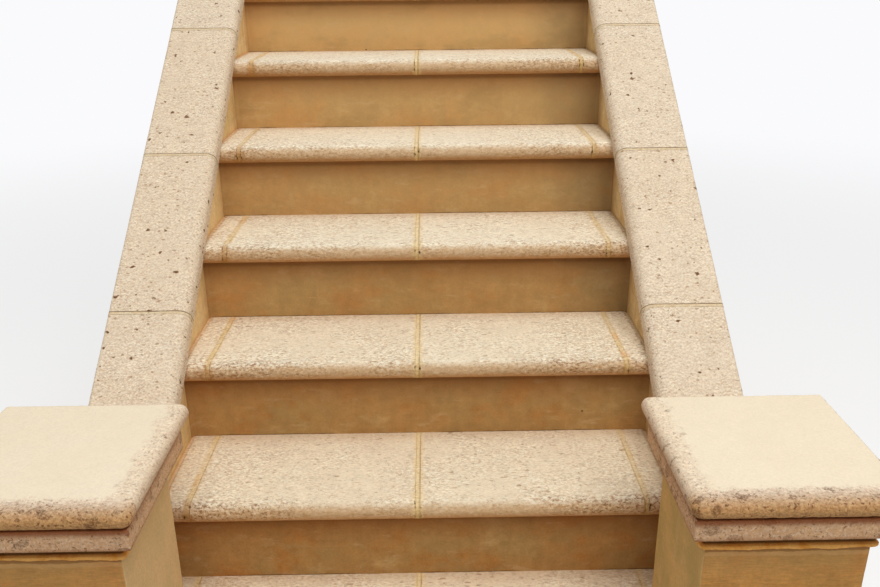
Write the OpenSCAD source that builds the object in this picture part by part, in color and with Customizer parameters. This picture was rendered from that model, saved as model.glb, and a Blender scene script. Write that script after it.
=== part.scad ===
// Garden flight of bullnosed stone treads between rendered raking cheek walls.
// Each cheek wall has a stone coping and starts at a square pier with a double cap.
// Axes: +X to the right going up, +Y into the flight, +Z up. Lengths in millimetres.
// The origin is on the ground, under the centre of the whole outline.

/* [Flight] */
// Rise of one step, tread top to tread top
riser_h = 210; // [180:1:220]
// Going of one step, riser face to riser face
going = 280; // [260:1:320]
// How far a tread's nose stands in front of the riser below it
nose = 30; // [10:1:45]
// Thickness of the rendered riser facing
riser_t = 20; // [10:1:35]

/* [Treads] */
// Thickness of the tread stones, also the height of their round front edge
slab_t = 50; // [40:1:60]
// Length of one tread slab
slab_len = 500; // [400:5:600]
// Width of the short stone that fills each end of a tread
filler_w = 53; // [30:1:120]
// Width of the mortar joints between the stones of a tread
joint = 10; // [6:1:14]
// Width of the mortar joint between a tread and the cheek wall
end_joint = 6; // [3:1:12]
// How far the mortar lies below the face of the stones
joint_sink = 1.5; // [0.5:0.5:4]

/* [Cheek walls and coping] */
// Thickness of a rendered cheek wall
wall_t = 172; // [120:2:260]
// Thickness of the coping stones, square to the slope
coping_t = 50; // [40:1:70]
// Radius of the coping's round inner edge
coping_r = 28; // [15:1:35]
// Radius of the coping's eased outer edge
coping_arris = 9; // [2:1:20]
// How far the coping hangs over each face of the wall
coping_over = 14; // [5:1:30]
// Gap between the round noses and the coping's underside, square to the slope
coping_clear = 2; // [1:1:60]
// Width of the mortar joints between coping stones
coping_joint = 8; // [4:1:14]
// Length of the top coping stone, measured on its top; the stones below it share the rest alike
coping_top_len = 181; // [80:1:400]
// Mortar wedge along the slope, from the pier to the first coping stone
coping_start = 35; // [12:1:60]

/* [Piers and caps] */
// How far a pier stands out in front of the first riser
pier_front = 105; // [40:1:200]
// How far a pier reaches back past the first riser
pier_back = 175; // [100:1:225]
// Height of the pier's render above the ground
pier_h = 562; // [440:2:900]
// Height of the mortar bed on the pier
bed_t = 40; // [10:1:60]
// How far the mortar bed stands out of the pier's faces
bed_out = 9; // [2:1:16]
// Thickness of the lower, square-edged cap slab
under_t = 43; // [25:1:60]
// Thickness of the upper cap slab, also the height of its round edges
cap_t = 40; // [30:1:70]
// How far the upper slab hangs over the pier at the front and sides
cap_over = 38; // [20:1:60]
// How far the lower slab's edge lies behind the upper slab's edge
cap_step = 8; // [1:1:15]
// How far the lower slab reaches back past the pier, over the foot of the coping
under_back = 26; // [0:1:50]
// How far the upper slab hangs over behind the pier
cap_back = 64; // [0:1:110]

/* [Hidden] */
// Number of steps, counting the landing stone at the top; each has nodes of its own
step_count = 7;
// Number of coping stones on each side, the last one cut to length
coping_count = 5;
// Smoothness of the round edges
$fn = 96;
// Clear width between the cheek walls, set by the stones of a tread
clear_w = 2 * slab_len + 3 * joint + 2 * filler_w + 2 * end_joint;
// Half of the clear width: the inner face of a cheek wall
wall_x = clear_w / 2;
// Centre plane of a cheek wall and of its pier
wall_mid = wall_x + wall_t / 2;
// Inner face of a pier, half a joint away from the end of the first tread slab
pier_x = slab_len + joint;
// Width of a pier, centred on its wall
pier_w = 2 * (wall_mid - pier_x);
// Rear plane, at the back of the landing stone
rear_y = step_count * going + riser_t;
// Slope of the flight
pitch = atan2(riser_h, going);
// Length of the slope on top of the copings, from the back of the pier to the rear plane
slope_len = (rear_y - pier_back) / cos(pitch);
// Distance from one coping joint to the next
coping_step = (slope_len - coping_start - coping_top_len) / (coping_count - 1);
// Length of each coping stone below the top one
coping_len = coping_step - coping_joint;
// Width of the coping
coping_w = wall_t + 2 * coping_over;
// How far the round noses reach, square to the slope, from the line of their sharp corners
nose_reach = slab_t / 2 * (1 - sin(pitch) - cos(pitch));
// Height of the coping's top above that line
coping_up = (nose_reach + coping_clear + coping_t) / cos(pitch);
// Underside of the lower cap slab
under_z = pier_h + bed_t;
// Underside of the upper cap slab
cap_z = under_z + under_t;
// Front edge of the upper cap slab, the foremost edge of the whole outline
front_y = -pier_front - cap_over;
// Moves the first riser's face so that the outline is centred on the origin
shift_y = -(front_y + rear_y) / 2;
// Spare length for cutting tools
over = 5;

// Height of the coping's top over a point of the plan
function coping_z(y) = riser_h + (y + nose) * riser_h / going + coping_up;
// Height of the coping's underside over the same point
function wall_top(y) = coping_z(y) - coping_t / cos(pitch);

// Name of the node to draw, or all of them

// Places its children from the first riser's face to the centred frame
module placed() {
  translate([0, shift_y, 0])
    children();
}

// Draws its children on the right-hand side, side = 1, or mirrored to the left, side = -1
module sided(side) {
  if (side > 0) {
    children();
  } else {
    mirror([1, 0, 0])
      children();
  }
}

// Section of a tread stone: depth along +X, thickness along +Y, round front edge at x = 0
// sink makes the same section smaller all round but underneath, for the mortar
module tread_section(sink) {
  r = slab_t / 2 - sink / 2;
  depth = nose + going + riser_t;
  union() {
    translate([sink + r, r])
      circle(r);
    translate([sink + r, 0])
      square([depth - sink - r, 2 * r]);
  }
}

// One stone or joint of tread i, from x0 to x1, before the pier is taken out
module tread_bar(i, x0, x1, sink) {
  translate([x0, (i - 1) * going - nose, i * riser_h - slab_t])
    rotate([90, 0, 90])
      linear_extrude(height = x1 - x0)
        tread_section(sink);
}

// Room taken up by both piers
module pier_room() {
  for (side = [-1, 1])
    sided(side)
      translate([pier_x, -pier_front - over, -over])
        cube([pier_w, pier_front + pier_back + over, pier_h + 2 * over]);
}

// The four stones of tread i; at the foot the end stones stop behind the piers
module tread(i) {
  half = joint / 2;
  difference() {
    union() {
      for (side = [-1, 1])
        sided(side) {
          tread_bar(i, half, half + slab_len, 0);
          tread_bar(i, half + slab_len + joint, wall_x - end_joint, 0);
        }
    }
    if (i == 1)
      pier_room();
  }
}

// Mortar in the three joints of tread i and at its two ends against the cheek walls
module tread_joints(i) {
  half = joint / 2;
  difference() {
    union() {
      tread_bar(i, -half, half, joint_sink);
      for (side = [-1, 1])
        sided(side) {
          tread_bar(i, half + slab_len, half + slab_len + joint, joint_sink);
          tread_bar(i, wall_x - end_joint, wall_x, joint_sink);
        }
    }
    if (i == 1)
      pier_room();
  }
}

// Rendered facing under the nose of tread i, standing on the tread below
module riser(i) {
  x = i == 1 ? pier_x : wall_x;
  translate([-x, (i - 1) * going, (i - 1) * riser_h])
    cube([2 * x, riser_t, riser_h - slab_t]);
}

// Outline of the stepped core seen from the side, going along +X and up along +Y
function core_line() = concat(
  [[rear_y, 0], [riser_t, 0]],
  [for (i = [1 : step_count]) each [
    [(i - 1) * going + riser_t, i * riser_h - slab_t],
    [i * going + riser_t, i * riser_h - slab_t]
  ]]
);

// Frame of the slope: local +Y runs up the coping's top, local +Z stands square to it
module on_slope() {
  translate([0, pier_back, coping_z(pier_back)])
    rotate([pitch, 0, 0])
      children();
}

// Quarter disc of radius r: the top left corner of a section, or the top right one
module corner(r, right) {
  intersection() {
    circle(r);
    translate([right ? 0 : -r, 0])
      square(r);
  }
}

// Section of a coping stone on the right-hand side, top at y = 0
module coping_section(sink) {
  x0 = wall_x - coping_over + sink;
  x1 = x0 + coping_w - 2 * sink;
  r = coping_r;
  a = coping_arris;
  union() {
    translate([x0, -coping_t])
      square([r, coping_t - sink - r]);
    translate([x0 + r, -sink - r])
      corner(r, false);
    translate([x0 + r, -coping_t])
      square([x1 - x0 - r - a, coping_t - sink]);
    translate([x1 - a, -coping_t])
      square([a, coping_t - sink - a]);
    translate([x1 - a, -sink - a])
      corner(a, true);
  }
}

// Length s0 to s1 of the coping along the slope
module coping_bar(s0, s1, sink) {
  on_slope()
    translate([0, s1, 0])
      rotate([90, 0, 0])
        linear_extrude(height = s1 - s0)
          coping_section(sink);
}

// Everything behind the rear plane or in front of the back of the pier
module coping_ends() {
  reach = rear_y;
  translate([0, rear_y, 0])
    cube([2 * wall_mid, reach, rear_y + reach]);
  translate([0, pier_back - reach, 0])
    cube([2 * wall_mid, reach, rear_y + reach]);
}

// Coping stone k on one side, counted from the pier; the last one is cut plumb at the rear
module coping_stone(side, k) {
  s0 = coping_start + (k - 1) * coping_step;
  s1 = k < coping_count ? s0 + coping_len : slope_len + 2 * coping_t;
  sided(side)
    difference() {
      coping_bar(s0, s1, 0);
      coping_ends();
    }
}

// Mortar between the coping stones, and the wedge against the pier
module coping_joints(side) {
  sided(side)
    difference() {
      union() {
        coping_bar(-coping_t, coping_start, joint_sink);
        for (k = [1 : coping_count - 1])
          coping_bar(
            coping_start + k * coping_step - coping_joint,
            coping_start + k * coping_step,
            joint_sink
          );
      }
      coping_ends();
    }
}

// Rendered cheek wall from the pier to the rear plane, its top under the coping
module cheek_wall(side) {
  sided(side)
    translate([wall_x, 0, 0])
      rotate([90, 0, 90])
        linear_extrude(height = wall_t)
          polygon([
            [pier_back, 0],
            [rear_y, 0],
            [rear_y, wall_top(rear_y)],
            [pier_back, wall_top(pier_back)]
          ]);
}

// Rendered pier
module pier(side) {
  sided(side)
    translate([pier_x, -pier_front, 0])
      cube([pier_w, pier_front + pier_back, pier_h]);
}

// Mortar bed between the pier and the lower slab, a lip that stands a little out of the render
module cap_bed(side) {
  sided(side)
    translate([pier_x - bed_out, -pier_front - bed_out, pier_h])
      cube([pier_w + 2 * bed_out, pier_front + pier_back + bed_out, bed_t]);
}

// Lower cap slab, square edged, reaching a little past the back of the pier
module under_slab(side) {
  reach = cap_over - cap_step;
  sided(side)
    translate([pier_x - reach, -pier_front - reach, under_z])
      cube([pier_w + 2 * reach, pier_front + pier_back + reach + under_back, under_t]);
}

// Upper cap slab: full round inner and front edges that meet in a round corner,
// square outer and rear edges
module cap_slab(side) {
  r = cap_t / 2;
  x0 = pier_x - cap_over + r;
  x1 = pier_x + pier_w + cap_over;
  y0 = front_y + r;
  y1 = pier_back + cap_back;
  sided(side)
    translate([0, 0, cap_z])
      union() {
        translate([x0, y0, 0])
          cube([x1 - x0, y1 - y0, cap_t]);
        translate([x0, y1, r])
          rotate([90, 0, 0])
            cylinder(h = y1 - y0, r = r);
        translate([x0, y0, r])
          rotate([0, 90, 0])
            cylinder(h = x1 - x0, r = r);
        translate([x0, y0, r])
          sphere(r = r);
      }
}

module stair_core() {
  color([0.62, 0.58, 0.50])
    placed()
      difference() {
        translate([-wall_x, 0, 0])
          rotate([90, 0, 90])
            linear_extrude(height = clear_w)
              polygon(core_line());
        pier_room();
      }
}

module riser_1() {
  color([0.72, 0.56, 0.33])
    placed()
      riser(1);
}

module riser_2() {
  color([0.72, 0.56, 0.33])
    placed()
      riser(2);
}

module riser_3() {
  color([0.72, 0.56, 0.33])
    placed()
      riser(3);
}

module riser_4() {
  color([0.72, 0.56, 0.33])
    placed()
      riser(4);
}

module riser_5() {
  color([0.72, 0.56, 0.33])
    placed()
      riser(5);
}

module riser_6() {
  color([0.72, 0.56, 0.33])
    placed()
      riser(6);
}

module riser_7() {
  color([0.72, 0.56, 0.33])
    placed()
      riser(7);
}

module tread_1() {
  color([0.80, 0.70, 0.55])
    placed()
      tread(1);
}

module tread_2() {
  color([0.80, 0.70, 0.55])
    placed()
      tread(2);
}

module tread_3() {
  color([0.80, 0.70, 0.55])
    placed()
      tread(3);
}

module tread_4() {
  color([0.80, 0.70, 0.55])
    placed()
      tread(4);
}

module tread_5() {
  color([0.80, 0.70, 0.55])
    placed()
      tread(5);
}

module tread_6() {
  color([0.80, 0.70, 0.55])
    placed()
      tread(6);
}

module tread_7() {
  color([0.80, 0.70, 0.55])
    placed()
      tread(7);
}

module tread_mortar() {
  color([0.78, 0.60, 0.30])
    placed()
      for (i = [1 : step_count])
        tread_joints(i);
}

module cheek_wall_left() {
  color([0.72, 0.56, 0.33])
    placed()
      cheek_wall(-1);
}

module coping_left_1() {
  color([0.80, 0.70, 0.55])
    placed()
      coping_stone(-1, 1);
}

module coping_left_2() {
  color([0.80, 0.70, 0.55])
    placed()
      coping_stone(-1, 2);
}

module coping_left_3() {
  color([0.80, 0.70, 0.55])
    placed()
      coping_stone(-1, 3);
}

module coping_left_4() {
  color([0.80, 0.70, 0.55])
    placed()
      coping_stone(-1, 4);
}

module coping_left_5() {
  color([0.80, 0.70, 0.55])
    placed()
      coping_stone(-1, 5);
}

module coping_mortar_left() {
  color([0.78, 0.60, 0.30])
    placed()
      coping_joints(-1);
}

module pier_left() {
  color([0.72, 0.56, 0.33])
    placed()
      pier(-1);
}

module cap_bed_left() {
  color([0.78, 0.60, 0.30])
    placed()
      cap_bed(-1);
}

module under_slab_left() {
  color([0.84, 0.76, 0.60])
    placed()
      under_slab(-1);
}

module cap_slab_left() {
  color([0.84, 0.76, 0.60])
    placed()
      cap_slab(-1);
}

module cheek_wall_right() {
  color([0.72, 0.56, 0.33])
    placed()
      cheek_wall(1);
}

module coping_right_1() {
  color([0.80, 0.70, 0.55])
    placed()
      coping_stone(1, 1);
}

module coping_right_2() {
  color([0.80, 0.70, 0.55])
    placed()
      coping_stone(1, 2);
}

module coping_right_3() {
  color([0.80, 0.70, 0.55])
    placed()
      coping_stone(1, 3);
}

module coping_right_4() {
  color([0.80, 0.70, 0.55])
    placed()
      coping_stone(1, 4);
}

module coping_right_5() {
  color([0.80, 0.70, 0.55])
    placed()
      coping_stone(1, 5);
}

module coping_mortar_right() {
  color([0.78, 0.60, 0.30])
    placed()
      coping_joints(1);
}

module pier_right() {
  color([0.72, 0.56, 0.33])
    placed()
      pier(1);
}

module cap_bed_right() {
  color([0.78, 0.60, 0.30])
    placed()
      cap_bed(1);
}

module under_slab_right() {
  color([0.84, 0.76, 0.60])
    placed()
      under_slab(1);
}

module cap_slab_right() {
  color([0.84, 0.76, 0.60])
    placed()
      cap_slab(1);
}

stair_core();
riser_1();
riser_2();
riser_3();
riser_4();
riser_5();
riser_6();
riser_7();
tread_1();
tread_2();
tread_3();
tread_4();
tread_5();
tread_6();
tread_7();
tread_mortar();
cheek_wall_left();
coping_left_1();
coping_left_2();
coping_left_3();
coping_left_4();
coping_left_5();
coping_mortar_left();
pier_left();
cap_bed_left();
under_slab_left();
cap_slab_left();
cheek_wall_right();
coping_right_1();
coping_right_2();
coping_right_3();
coping_right_4();
coping_right_5();
coping_mortar_right();
pier_right();
cap_bed_right();
under_slab_right();
cap_slab_right();
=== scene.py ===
import math
import random

import bmesh
import bpy
from mathutils import Matrix, Vector


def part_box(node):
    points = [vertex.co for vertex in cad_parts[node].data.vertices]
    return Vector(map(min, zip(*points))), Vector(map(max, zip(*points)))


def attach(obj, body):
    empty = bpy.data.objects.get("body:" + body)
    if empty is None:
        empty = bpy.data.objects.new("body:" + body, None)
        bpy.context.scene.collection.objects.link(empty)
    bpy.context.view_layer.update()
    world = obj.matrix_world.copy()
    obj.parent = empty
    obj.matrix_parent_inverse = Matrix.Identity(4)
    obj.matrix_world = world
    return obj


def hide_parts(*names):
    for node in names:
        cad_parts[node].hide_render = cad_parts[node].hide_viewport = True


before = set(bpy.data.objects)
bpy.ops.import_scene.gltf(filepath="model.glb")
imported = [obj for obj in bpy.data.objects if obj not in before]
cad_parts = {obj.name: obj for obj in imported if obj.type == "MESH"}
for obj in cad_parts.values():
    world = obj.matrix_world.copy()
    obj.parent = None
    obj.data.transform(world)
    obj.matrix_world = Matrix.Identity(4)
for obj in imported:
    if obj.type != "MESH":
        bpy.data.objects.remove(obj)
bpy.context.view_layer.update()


def low(node):
    """Least corner of a node's box."""
    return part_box(node)[0]


def high(node):
    """Greatest corner of a node's box."""
    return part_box(node)[1]


# Sizes of the flight in metres, read from the frame where it shows them
STEPS = 7
COPINGS = 5
SIDES = {"left": -1.0, "right": 1.0}
RISE = high("tread_2").z - high("tread_1").z
GOING = low("riser_2").y - low("riser_1").y
FACE_Y = low("riser_1").y
SLAB_T = high("tread_2").z - low("tread_2").z
NOSE = low("riser_2").y - low("tread_2").y
NOSE_R = SLAB_T / 2
TREAD_DEPTH = high("tread_2").y - low("tread_2").y
REAR_Y = high("tread_7").y
WALL_X = low("cheek_wall_right").x
WALL_OUT = high("cheek_wall_right").x
PIER_X = low("pier_right").x
PIER_BACK = high("pier_right").y
PIER_TOP = high("pier_right").z
BED_TOP = high("cap_bed_right").z
JOINT = 0.010
END_JOINT = 0.006
SLAB_LEN = PIER_X - JOINT
FILLER_START = SLAB_LEN + 1.5 * JOINT
FILLER_END = WALL_X - END_JOINT
COPING_T = 0.050
COPING_R = 0.028
COPING_ARRIS = 0.009
COPING_CLEAR = 0.002
COPING_JOINT = 0.008
COPING_START = 0.035
COPING_TOP_LEN = 0.181
COPING_IN = low("coping_right_1").x
COPING_OUT = high("coping_right_1").x
PITCH = math.atan2(RISE, GOING)
SLOPE_LEN = (REAR_Y - PIER_BACK) / math.cos(PITCH)
COPING_STEP = (SLOPE_LEN - COPING_START - COPING_TOP_LEN) / (COPINGS - 1)
NOSE_REACH = NOSE_R * (1 - math.sin(PITCH) - math.cos(PITCH))
COPING_UP = (NOSE_REACH + COPING_CLEAR + COPING_T) / math.cos(PITCH)


def tread_y(i):
    """Front of the nose of tread i."""
    return FACE_Y + (i - 1) * GOING - NOSE


def coping_z(y):
    """Height of the coping's top over a point of the plan."""
    return RISE + (y - FACE_Y + NOSE) * RISE / GOING + COPING_UP


# Node graphs, written as sums


class Wire:
    """A socket that takes part in sums."""

    def __init__(self, graph, socket):
        self.graph = graph
        self.socket = socket

    def __add__(self, other):
        return self.graph.sum("ADD", self, other)

    def __radd__(self, other):
        return self.graph.sum("ADD", other, self)

    def __sub__(self, other):
        return self.graph.sum("SUBTRACT", self, other)

    def __rsub__(self, other):
        return self.graph.sum("SUBTRACT", other, self)

    def __mul__(self, other):
        return self.graph.sum("MULTIPLY", self, other)

    def __rmul__(self, other):
        return self.graph.sum("MULTIPLY", other, self)

    def __truediv__(self, other):
        return self.graph.sum("DIVIDE", self, other)

    def __rtruediv__(self, other):
        return self.graph.sum("DIVIDE", other, self)

    def __lt__(self, other):
        return self.graph.sum("LESS_THAN", self, other)

    def __gt__(self, other):
        return self.graph.sum("GREATER_THAN", self, other)


class Graph:
    """A node tree that is built from wires."""

    def __init__(self, tree):
        self.tree = tree
        family = "Function" if tree.bl_idname == "GeometryNodeTree" else "Shader"
        self.split = family + "NodeSeparateColor"

    def node(self, kind, settings=None, inputs=None, out=0):
        """Adds a node: its type, then its settings, then values or wires for its sockets."""
        made = self.tree.nodes.new(kind)
        for key, value in (settings or {}).items():
            setattr(made, key, value)
        for key, value in (inputs or {}).items():
            socket = self.socket(made.inputs, key)
            if isinstance(value, Wire):
                self.tree.links.new(value.socket, socket)
            elif value is not None:
                socket.default_value = value[:3] if socket.type == "VECTOR" else value
        return Wire(self, self.socket(made.outputs, out))

    @staticmethod
    def socket(sockets, key):
        """The socket with this number, identifier or name."""
        if key is None or isinstance(key, int):
            return None if key is None else sockets[key]
        for one in sockets:
            if one.identifier == key:
                return one
        return sockets[key]

    def sum(self, operation, first, second=None, third=None):
        """One Math node."""
        return self.node("ShaderNodeMath", {"operation": operation}, {0: first, 1: second, 2: third})

    def move(self, vector, scale=(1, 1, 1), shift=(0, 0, 0)):
        """A place, stretched and then shifted."""
        return self.node("ShaderNodeVectorMath", {"operation": "MULTIPLY_ADD"},
                         {0: vector, 1: scale, 2: shift}, "Vector")

    def noise(self, vector, scale, detail=2.0, rough=0.5, stretch=None, shift=None):
        """Soft noise, scale waves to the metre, read from a stretched or shifted place if one is given."""
        if stretch or shift:
            vector = self.move(vector, stretch or (1, 1, 1), shift or (0, 0, 0))
        return self.node("ShaderNodeTexNoise", None,
                         {"Vector": vector, "Scale": scale, "Detail": detail, "Roughness": rough}, 0)

    def step(self, value, start, end):
        """0 at start, 1 at end, smooth between them."""
        return self.node("ShaderNodeMapRange", {"interpolation_type": "SMOOTHSTEP"},
                         {"Value": value, "From Min": start, "From Max": end})

    def chips(self, vector, scale, share, small, large, soft=0.07, ragged=0.35):
        """Uneven spots: the share of cells that hold one, and its radius in parts of a cell."""
        distance = self.node("ShaderNodeTexVoronoi", None, {"Vector": vector, "Scale": scale}, "Distance")
        cell = Wire(self, distance.socket.node.outputs["Color"])
        chance = self.node(self.split, None, {0: cell}, 0)
        size = Wire(self, chance.socket.node.outputs[1])
        rim = distance + self.noise(vector, scale * 2.3, 1.0) * ragged - ragged * 0.5
        return self.step(rim - (size * (large - small) + small), soft, -soft) * (chance < share)


def srgb(red, green, blue):
    """A colour given as it looks on a screen, 0 to 255."""
    def linear(c):
        c = c / 255
        return c / 12.92 if c <= 0.04045 else ((c + 0.055) / 1.055) ** 2.4
    return (linear(red), linear(green), linear(blue), 1.0)


class Finish(Graph):
    """A material with one principled shader; patterns are laid out in metres on the object."""

    def __init__(self, name):
        self.material = bpy.data.materials.new(name)
        self.material.use_nodes = True
        super().__init__(self.material.node_tree)
        self.tree.nodes.clear()
        self.place = self.node("ShaderNodeTexCoord", None, None, "Object")
        self.x = self.node("ShaderNodeSeparateXYZ", None, {0: self.place}, "X")
        self.y = Wire(self, self.x.socket.node.outputs["Y"])
        self.z = Wire(self, self.x.socket.node.outputs["Z"])

    def attribute(self, name):
        """A value that the mesh carries: edge, shade or tint."""
        return self.node("ShaderNodeAttribute", {"attribute_name": name}, None, "Fac")

    def mix(self, factor, first, second):
        """The first colour where factor is 0, the second where it is 1."""
        return self.node("ShaderNodeMix", {"data_type": "RGBA"},
                         {"Factor_Float": factor, "A_Color": first, "B_Color": second}, "Result_Color")

    def paint_shade(self, factor, colour, tint):
        """The colour under a painted shade, which darkens light and dark parts alike."""
        return self.node("ShaderNodeMix", {"data_type": "RGBA", "blend_type": "MULTIPLY"},
                         {"Factor_Float": factor, "A_Color": colour, "B_Color": tint}, "Result_Color")

    def tone(self, colour, factor):
        """The colour made lighter or darker."""
        return self.node("ShaderNodeVectorMath", {"operation": "SCALE"},
                         {0: colour, "Scale": factor}, "Vector")

    def finish(self, colour, roughness, height=None, depth=0.001, strength=0.5, specular=0.25):
        """Closes the material: its colour, its roughness and how high the bumps of its grain stand."""
        normal = None
        if height is not None:
            normal = self.node("ShaderNodeBump", None,
                               {"Height": height, "Distance": depth, "Strength": strength}, "Normal")
        shader = self.node("ShaderNodeBsdfPrincipled", None,
                           {"Base Color": colour, "Roughness": roughness, "Normal": normal,
                            "Specular IOR Level": specular}, "BSDF")
        self.node("ShaderNodeOutputMaterial", None, {"Surface": shader}, None)
        return self.material


# Colours of the stones
CREAM = srgb(238, 219, 186)
PINK = srgb(233, 212, 180)
# painted light: lighter creams for the top of the flight
LIT_HIGH_CREAM = srgb(253, 241, 215)
LIT_HIGH_PINK = srgb(251, 237, 209)
COPING_CREAM = srgb(234, 214, 186)
COPING_PINK = srgb(230, 208, 179)
CAP_CREAM = srgb(237, 219, 195)
CAP_WARM = srgb(240, 218, 188)
SLAB_ROSE = srgb(222, 178, 134)
SLAB_TAN = srgb(215, 168, 125)
SMOOTH_CREAM = srgb(243, 228, 201)
SMOOTH_WARM = srgb(241, 224, 193)
LIGHT = srgb(255, 247, 222)
CREST_HIGHLIGHT = srgb(254, 240, 210)

# Grit, crumbs, pits and holes in them
GRIT = srgb(184, 140, 98)
CRUMB = srgb(178, 132, 88)
SCRATCH = srgb(150, 102, 58)
FADED_CRUMB = srgb(176, 142, 104)
DASH = srgb(176, 132, 88)
MARK = srgb(146, 98, 56)
PIT_DARK = srgb(136, 76, 24)
PIT_RUST = srgb(164, 100, 38)
COPING_MARK = srgb(158, 112, 70)
HOLE_RIM = srgb(148, 104, 64)
HOLE_FLOOR = srgb(96, 60, 30)
PEBBLE = srgb(124, 92, 66)
CAP_SPECK = srgb(118, 76, 42)

# Stains, painted shade, some of it as shades that multiply what lies under them, and the mortar washed over
# the joints
NOSE_TAN_AND_SHADE = srgb(206, 154, 90)
NOSE_RUST_AND_SHADE = srgb(218, 144, 74)
NOSE_SHADE = (0.86, 0.82, 0.72, 1.0)
HIGH_NOSE_SHADE = (0.88, 0.88, 0.86, 1.0)
BACK_SHADE_AND_DIRT = srgb(178, 132, 84)
MIDDLE_WASH = srgb(238, 206, 138)
OCHRE = srgb(226, 190, 116)
ORANGE = srgb(226, 160, 80)
SEAM_RUST = srgb(176, 108, 42)
WALL_LINE_RIGHT = srgb(222, 168, 104)
WALL_LINE_LEFT = srgb(176, 142, 92)
HAIR_LINE = srgb(134, 92, 46)
COPING_WASH = srgb(230, 208, 166)
COPING_WASH_WARM = srgb(220, 190, 140)
COPING_HAIR = srgb(116, 80, 44)
CAP_SIDE_SHADE = srgb(190, 134, 84)
SLAB_SHADE = srgb(140, 72, 26)
SLAB_FOOT = srgb(166, 102, 52)

# Painted shade down the front of a cap: the edge values at which each shade starts and is full, and its
# colour
CAP_FRONT_PAINTED_SHADES = ((0.062, 0.030, (0.86, 0.81, 0.83, 1.0)), (0.036, -0.008, (0.80, 0.68, 0.52, 1.0)),
                    (-0.002, -0.028, (1.00, 0.80, 0.52, 1.0)))

# Render in four tones: its ground, olive patches, rusty blotches, pale patches
RISER_TONES = (srgb(180, 135, 79), srgb(171, 137, 84), srgb(180, 118, 56), srgb(196, 163, 110))
WALL_TONES = (srgb(228, 198, 144), srgb(218, 190, 134), srgb(220, 178, 116), srgb(234, 210, 164))
PIER_TONES = (srgb(208, 148, 78), srgb(190, 140, 74), srgb(204, 128, 54), srgb(214, 168, 106))
RISER_PAINTED_LIGHT = srgb(228, 186, 124)
RISER_MOSS = srgb(150, 126, 78)
RISER_SCUFF = srgb(214, 182, 134)
RISER_DOT = srgb(60, 40, 22)
UNDER_NOSE_SHADOW = srgb(142, 78, 30)
UNDER_NOSE_DEEP_SHADOW = srgb(92, 46, 16)
RISER_FOOT = srgb(84, 54, 26)
RISER_END_SHADE = srgb(134, 88, 44)
RISER_SHADE = (0.70, 0.74, 0.80, 1.0)
WALL_CORNER_SHADE = srgb(164, 116, 62)
PIER_SIDE = srgb(222, 180, 114)
PIER_SIDE_DULL = srgb(200, 168, 102)
PIER_SIDE_LIT = srgb(236, 204, 156)
PIER_DRIP = srgb(232, 204, 166)
PIER_TOP_PALE = srgb(214, 178, 122)
PIER_SCUFF = srgb(232, 188, 128)
PIER_CRACK = srgb(124, 70, 22)
LIP_PALE = srgb(248, 186, 100)
LIP_WARM = srgb(232, 158, 70)
LIP_SHADE = srgb(58, 28, 6)
CORE_PALE = srgb(206, 194, 172)
CORE_DULL = srgb(184, 172, 152)


def stone_body(f, p, cream, pink, stretch=1.0, fine=240.0, grain=1.0, spots=1.0, relief=0.60):
    """Pale cast stone: cloudy and gritty, with light crumbs, dark crumbs, short curled scratches and painted
    light and shade on its bumps.

    grain, spots and relief say how strong the grit, the crumbs and the painted light and shade on the bumps
    are.
    """
    along = (stretch, 1, 1)
    cloud = f.noise(p, 5.0, 2.0)
    coarse = f.step(f.noise(p, 13.0, 2.0, shift=(9.1, 3.2, 1.4)), 0.34, 0.66) - 0.5
    mottle = f.noise(p, 32.0, 3.0, 0.60)
    grit = f.noise(p, fine, 3.0, 0.68, along, (3.3, 1.7, 8.1))
    dark = f.noise(p, 190.0, 3.0, 0.66, along, (7.1, 2.4, 5.3)) + coarse * 0.05
    pale = f.noise(p, 150.0, 3.0, 0.60, along, (1.1, 9.4, 2.3)) + coarse * 0.04
    curl = f.sum("ABSOLUTE", f.noise(p, 95.0, 2.0, 0.55, along, (4.4, 6.2, 3.7)) - 0.5)
    scratch = f.step(curl, 0.036, 0.012) * f.step(f.noise(p, 62.0, 2.0, shift=(2.2, 5.5, 7.9)), 0.57, 0.63)
    tint = f.attribute("tint")
    body = f.mix(f.step(cloud + (tint - 0.5) * 0.3, 0.34, 0.66), cream, pink)
    colour = f.tone(body, (mottle - 0.5) * 0.30 + (tint - 0.5) * 0.05 + 1.0)
    colour = f.mix(f.step(grit, 0.54, 0.32) * (grain * 0.40), colour, GRIT)
    colour = f.mix(f.step(grit, 0.46, 0.68) * (grain * 0.50), colour, LIGHT)
    colour = f.mix(f.step(dark, 0.58, 0.655) * (grain * (0.46 * spots)), colour, CRUMB)
    colour = f.mix(f.step(pale, 0.56, 0.65) * (grain * (0.60 * spots)), colour, LIGHT)
    colour = f.mix(scratch * (0.50 * spots), colour, SCRATCH)
    # painted light and shade: each bump lighter on its upper side and darker on its lower, as if lit from
    # above
    bumps = f.noise(p, 165.0, 2.0, 0.6, (0.7, 1, 1), (8.8, 4.1, 6.3))
    above = f.noise(p, 165.0, 2.0, 0.6, (0.7, 1, 1), (8.8, 4.1022, 6.3016))
    colour = f.tone(colour, (bumps - above) * (grain * relief) + 1.0)
    height = mottle * 0.3 + grit * 0.5 - f.step(dark, 0.56, 0.68) * 0.4
    height = height + f.step(pale, 0.56, 0.68) * 0.2 - scratch * 0.4
    return colour, height, mottle, grit


def seam(f, ragged, place, half, soft):
    """1 along a joint, both sides of the flight alike, fading over soft."""
    away = f.sum("ABSOLUTE", f.sum("ABSOLUTE", f.x) - place) + (ragged - 0.5) * soft * 4.0
    return f.step(away, half + soft, half - soft)


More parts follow.
